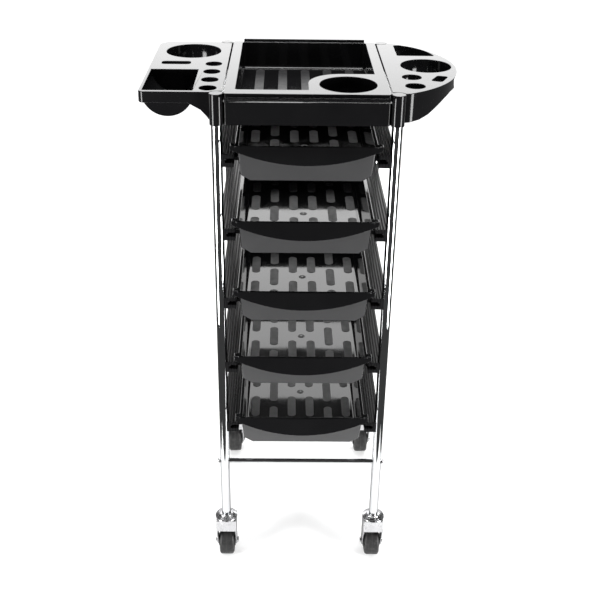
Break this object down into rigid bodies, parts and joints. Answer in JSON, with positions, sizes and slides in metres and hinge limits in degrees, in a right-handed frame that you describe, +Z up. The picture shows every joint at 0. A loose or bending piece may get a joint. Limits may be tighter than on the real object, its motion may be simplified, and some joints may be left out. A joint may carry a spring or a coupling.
{
  "type": "rolling salon trolley",
  "caption": "Rolling salon trolley with a chrome post frame on swivel casters, sliding black drawers, a top tray with cup holder, and side wing trays with holes for tools.",
  "frame": {"origin": "middle of the underside of the whole trolley, on the floor", "axes": "+Z up, +X to the right seen from the front, -Y towards the user on the side where the drawers open"},
  "size_m": [0.482, 0.3794, 0.875],
  "materials": {
    "chrome": "polished",
    "zinc_plated": "bright plated",
    "steel_fasteners": "plated",
    "gloss_black": "gloss",
    "drawer_black": "gloss",
    "rail_black": "satin",
    "black_nylon": "matte",
    "wheel_rubber": "matte"
  },
  "bodies": {
    "frame": {"post_front_left": "chrome", "caster_head_front_left": "zinc_plated", "post_front_right": "chrome", "caster_head_front_right": "zinc_plated", "post_rear_left": "chrome", "caster_head_rear_left": "zinc_plated", "post_rear_right": "chrome", "caster_head_rear_right": "zinc_plated", "cross_bar_front": "chrome", "cross_bar_rear": "chrome", "cross_bar_bolts": "steel_fasteners", "top_tray": "gloss_black", "wing_screws": "steel_fasteners", "left_wing_tray": "gloss_black", "right_wing_tray": "gloss_black", "rail_screws_left": "steel_fasteners", "rail_screws_right": "steel_fasteners", "rail_left_1": "rail_black", "rail_right_1": "rail_black", "rail_left_2": "rail_black", "rail_right_2": "rail_black", "rail_left_3": "rail_black", "rail_right_3": "rail_black", "rail_left_4": "rail_black", "rail_right_4": "rail_black", "rail_left_5": "rail_black", "rail_right_5": "rail_black"},
    "drawer_1": {"drawer_1": "drawer_black"},
    "drawer_2": {"drawer_2": "drawer_black"},
    "drawer_3": {"drawer_3": "drawer_black"},
    "drawer_4": {"drawer_4": "drawer_black"},
    "drawer_5": {"drawer_5": "drawer_black"},
    "caster_front_left": {"caster_fork_front_left": "zinc_plated", "caster_axle_front_left": "steel_fasteners"},
    "wheel_front_left": {"wheel_hub_front_left": "black_nylon", "wheel_tyre_front_left": "wheel_rubber"},
    "caster_front_right": {"caster_fork_front_right": "zinc_plated", "caster_axle_front_right": "steel_fasteners"},
    "wheel_front_right": {"wheel_hub_front_right": "black_nylon", "wheel_tyre_front_right": "wheel_rubber"},
    "caster_rear_left": {"caster_fork_rear_left": "zinc_plated", "caster_axle_rear_left": "steel_fasteners"},
    "wheel_rear_left": {"wheel_hub_rear_left": "black_nylon", "wheel_tyre_rear_left": "wheel_rubber"},
    "caster_rear_right": {"caster_fork_rear_right": "zinc_plated", "caster_axle_rear_right": "steel_fasteners"},
    "wheel_rear_right": {"wheel_hub_rear_right": "black_nylon", "wheel_tyre_rear_right": "wheel_rubber"}
  },
  "joints": [
    {"name": "drawer_1_slide", "type": "slide", "parent": "frame", "child": "drawer_1", "axis": [0, -1, 0], "range_m": [0, 0.2]},
    {"name": "drawer_2_slide", "type": "slide", "parent": "frame", "child": "drawer_2", "axis": [0, -1, 0], "range_m": [0, 0.2]},
    {"name": "drawer_3_slide", "type": "slide", "parent": "frame", "child": "drawer_3", "axis": [0, -1, 0], "range_m": [0, 0.2]},
    {"name": "drawer_4_slide", "type": "slide", "parent": "frame", "child": "drawer_4", "axis": [0, -1, 0], "range_m": [0, 0.2]},
    {"name": "drawer_5_slide", "type": "slide", "parent": "frame", "child": "drawer_5", "axis": [0, -1, 0], "range_m": [0, 0.2]},
    {"name": "caster_front_left_swivel", "type": "hinge", "parent": "frame", "child": "caster_front_left", "pos_m": [-0.128, -0.15325, 0.085], "axis": [0, 0, 1], "continuous": true},
    {"name": "wheel_front_left_spin", "type": "hinge", "parent": "caster_front_left", "child": "wheel_front_left", "pos_m": [-0.128, -0.14325, 0.026], "axis": [1, 0, 0], "continuous": true},
    {"name": "caster_front_right_swivel", "type": "hinge", "parent": "frame", "child": "caster_front_right", "pos_m": [0.136, -0.15325, 0.085], "axis": [0, 0, 1], "continuous": true},
    {"name": "wheel_front_right_spin", "type": "hinge", "parent": "caster_front_right", "child": "wheel_front_right", "pos_m": [0.136, -0.14325, 0.026], "axis": [1, 0, 0], "continuous": true},
    {"name": "caster_rear_left_swivel", "type": "hinge", "parent": "frame", "child": "caster_rear_left", "pos_m": [-0.128, 0.15375, 0.085], "axis": [0, 0, 1], "continuous": true},
    {"name": "wheel_rear_left_spin", "type": "hinge", "parent": "caster_rear_left", "child": "wheel_rear_left", "pos_m": [-0.128, 0.16375, 0.026], "axis": [1, 0, 0], "continuous": true},
    {"name": "caster_rear_right_swivel", "type": "hinge", "parent": "frame", "child": "caster_rear_right", "pos_m": [0.136, 0.15375, 0.085], "axis": [0, 0, 1], "continuous": true},
    {"name": "wheel_rear_right_spin", "type": "hinge", "parent": "caster_rear_right", "child": "wheel_rear_right", "pos_m": [0.136, 0.16375, 0.026], "axis": [1, 0, 0], "continuous": true}
  ]
}
